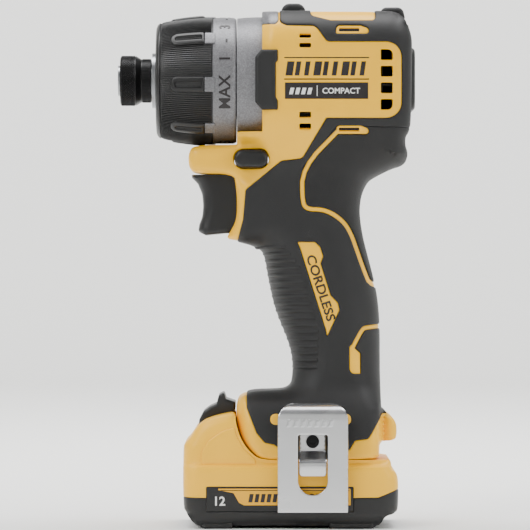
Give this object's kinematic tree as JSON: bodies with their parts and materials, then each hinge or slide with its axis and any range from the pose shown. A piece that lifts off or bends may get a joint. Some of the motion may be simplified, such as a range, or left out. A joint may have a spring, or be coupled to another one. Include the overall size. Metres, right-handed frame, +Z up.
{
  "type": "cordless driver",
  "caption": "Compact pistol-grip cordless driver with hex bit chuck, clutch dial, planetary gearbox, trigger, belt hook and slide-on battery pack.",
  "frame": {"origin": "on the table plane, under the middle of the tool's length and of its case's width", "axes": "+Z up, -X the way the bit points, -Y the side with the belt hook"},
  "size_m": [0.1298, 0.0688, 0.2284],
  "materials": {
    "yellow_plastic": "moulded glass-filled nylon, fine texture",
    "black_plastic": "moulded nylon, fine texture",
    "grip_rubber": "overmoulded elastomer, matt",
    "label_film": "printed film",
    "nose_silver": "grained silver paint on die-cast alloy",
    "black_steel": "black oxide",
    "machined_steel": "machined",
    "hook_steel": "bright plated sheet",
    "spring_steel": "drawn wire",
    "bronze": "sintered",
    "copper": "enamelled wire",
    "magnet": "bonded magnet",
    "circuit_board": "solder mask",
    "cell_wrap": "shrink film",
    "lead_sheath": "insulated wire"
  },
  "bodies": {
    "housing": {"left_shell": "yellow_plastic", "right_shell": "yellow_plastic", "left_rubber": "grip_rubber", "right_rubber": "grip_rubber", "side_labels": "label_film", "nose_pads": "grip_rubber", "rear_cap": "black_plastic", "case_screws": "black_steel", "nose_cover": "nose_silver", "gear_case": "nose_silver", "motor_plate": "machined_steel", "stator_core": "machined_steel", "stator_windings": "copper", "sensor_board": "circuit_board", "front_motor_bearing": "machined_steel", "rear_motor_bearing": "machined_steel", "first_ring_gear": "machined_steel", "output_ring_gear": "machined_steel", "clutch_balls": "machined_steel", "clutch_washer": "machined_steel", "clutch_spring": "spring_steel", "spindle_bush": "bronze", "spindle_bearing": "bronze", "dial_retaining_ring": "machined_steel", "trigger_switch": "black_plastic", "trigger_spring": "spring_steel", "control_module": "black_plastic", "terminal_block": "black_plastic", "motor_leads": "lead_sheath", "battery_leads": "lead_sheath", "belt_hook": "hook_steel", "hook_screw": "black_steel"},
    "dial": {"dial_grip": "black_plastic", "dial_scale_ring": "nose_silver"},
    "clutch_nut": {"clutch_nut": "machined_steel"},
    "spindle": {"output_spindle": "machined_steel", "chuck_end_cap": "machined_steel", "sleeve_spring": "spring_steel"},
    "lock_ball": {"lock_ball": "machined_steel"},
    "chuck_sleeve": {"chuck_sleeve": "black_steel"},
    "first_carrier": {"first_carrier": "machined_steel"},
    "rotor": {"motor_shaft": "machined_steel", "rotor_core": "magnet", "motor_fan": "black_plastic"},
    "trigger": {"trigger": "black_plastic"},
    "direction_bar": {"direction_bar": "black_plastic"},
    "battery": {"pack_base": "black_plastic", "pack_cover": "yellow_plastic", "pack_labels": "label_film", "pack_screws": "black_steel", "cells": "cell_wrap", "contact_board": "circuit_board", "button_spring": "spring_steel"},
    "release_button": {"release_button": "black_plastic"},
    "output_planet_a": {"output_planet_a": "machined_steel"},
    "output_planet_b": {"output_planet_b": "machined_steel"},
    "output_planet_c": {"output_planet_c": "machined_steel"},
    "first_planet_a": {"first_planet_a": "machined_steel"},
    "first_planet_b": {"first_planet_b": "machined_steel"},
    "first_planet_c": {"first_planet_c": "machined_steel"}
  },
  "joints": [
    {"name": "dial_turn", "type": "hinge", "parent": "housing", "child": "dial", "pos_m": [0, 0, 0.195], "axis": [1, 0, 0], "range_deg": [-74, 255]},
    {"name": "nut_slide", "type": "slide", "parent": "dial", "child": "clutch_nut", "axis": [1, 0, 0], "range_m": [-0.0013, 0.0043], "deforming": ["clutch_spring"]},
    {"name": "rotor_spin", "type": "hinge", "parent": "housing", "child": "rotor", "pos_m": [0, 0, 0.195], "axis": [1, 0, 0], "continuous": true},
    {"name": "spindle_spin", "type": "hinge", "parent": "housing", "child": "spindle", "pos_m": [0, 0, 0.195], "axis": [1, 0, 0], "continuous": true},
    {"name": "first_carrier_spin", "type": "hinge", "parent": "housing", "child": "first_carrier", "pos_m": [0, 0, 0.195], "axis": [1, 0, 0], "continuous": true},
    {"name": "sleeve_slide", "type": "slide", "parent": "spindle", "child": "chuck_sleeve", "axis": [-1, 0, 0], "range_m": [0, 0.0035], "stiffness_N_per_m": 600, "springref_m": -0.004, "deforming": ["sleeve_spring"]},
    {"name": "lock_ball_slide", "type": "slide", "parent": "spindle", "child": "lock_ball", "axis": [0, 0, 1], "range_m": [0, 0.0009]},
    {"name": "trigger_pull", "type": "slide", "parent": "housing", "child": "trigger", "axis": [1, 0, 0], "range_m": [0, 0.006], "stiffness_N_per_m": 500, "springref_m": -0.008, "deforming": ["trigger_spring"]},
    {"name": "direction_bar_slide", "type": "slide", "parent": "housing", "child": "direction_bar", "axis": [0, 1, 0], "range_m": [-0.002, 0.002]},
    {"name": "battery_slide", "type": "slide", "parent": "housing", "child": "battery", "axis": [-1, 0, 0], "range_m": [0, 0.05]},
    {"name": "release_button_press", "type": "slide", "parent": "battery", "child": "release_button", "axis": [0, 0, -1], "range_m": [0, 0.003], "stiffness_N_per_m": 800, "springref_m": -0.004, "deforming": ["button_spring"]},
    {"name": "output_planet_a_spin", "type": "hinge", "parent": "spindle", "child": "output_planet_a", "pos_m": [0, 0, 0.1851], "axis": [1, 0, 0], "continuous": true},
    {"name": "output_planet_b_spin", "type": "hinge", "parent": "spindle", "child": "output_planet_b", "pos_m": [0, 0.00857, 0.19995], "axis": [1, 0, 0], "continuous": true},
    {"name": "output_planet_c_spin", "type": "hinge", "parent": "spindle", "child": "output_planet_c", "pos_m": [0, -0.00857, 0.19995], "axis": [1, 0, 0], "continuous": true},
    {"name": "first_planet_a_spin", "type": "hinge", "parent": "first_carrier", "child": "first_planet_a", "pos_m": [0, 0, 0.1851], "axis": [1, 0, 0], "continuous": true},
    {"name": "first_planet_b_spin", "type": "hinge", "parent": "first_carrier", "child": "first_planet_b", "pos_m": [0, 0.00857, 0.19995], "axis": [1, 0, 0], "continuous": true},
    {"name": "first_planet_c_spin", "type": "hinge", "parent": "first_carrier", "child": "first_planet_c", "pos_m": [0, -0.00857, 0.19995], "axis": [1, 0, 0], "continuous": true}
  ],
  "couplings": [
    {"joint": "nut_slide", "follows": "dial_turn", "m_per_rad": 0.00095493},
    {"joint": "first_carrier_spin", "follows": "rotor_spin", "ratio": 0.22727},
    {"joint": "spindle_spin", "follows": "rotor_spin", "ratio": 0.051653},
    {"joint": "lock_ball_slide", "follows": "sleeve_slide", "ratio": 0.25},
    {"joint": "output_planet_a_spin", "follows": "rotor_spin", "ratio": -0.14635},
    {"joint": "output_planet_b_spin", "follows": "rotor_spin", "ratio": -0.14635},
    {"joint": "output_planet_c_spin", "follows": "rotor_spin", "ratio": -0.14635},
    {"joint": "first_planet_a_spin", "follows": "rotor_spin", "ratio": -0.64394},
    {"joint": "first_planet_b_spin", "follows": "rotor_spin", "ratio": -0.64394},
    {"joint": "first_planet_c_spin", "follows": "rotor_spin", "ratio": -0.64394}
  ]
}
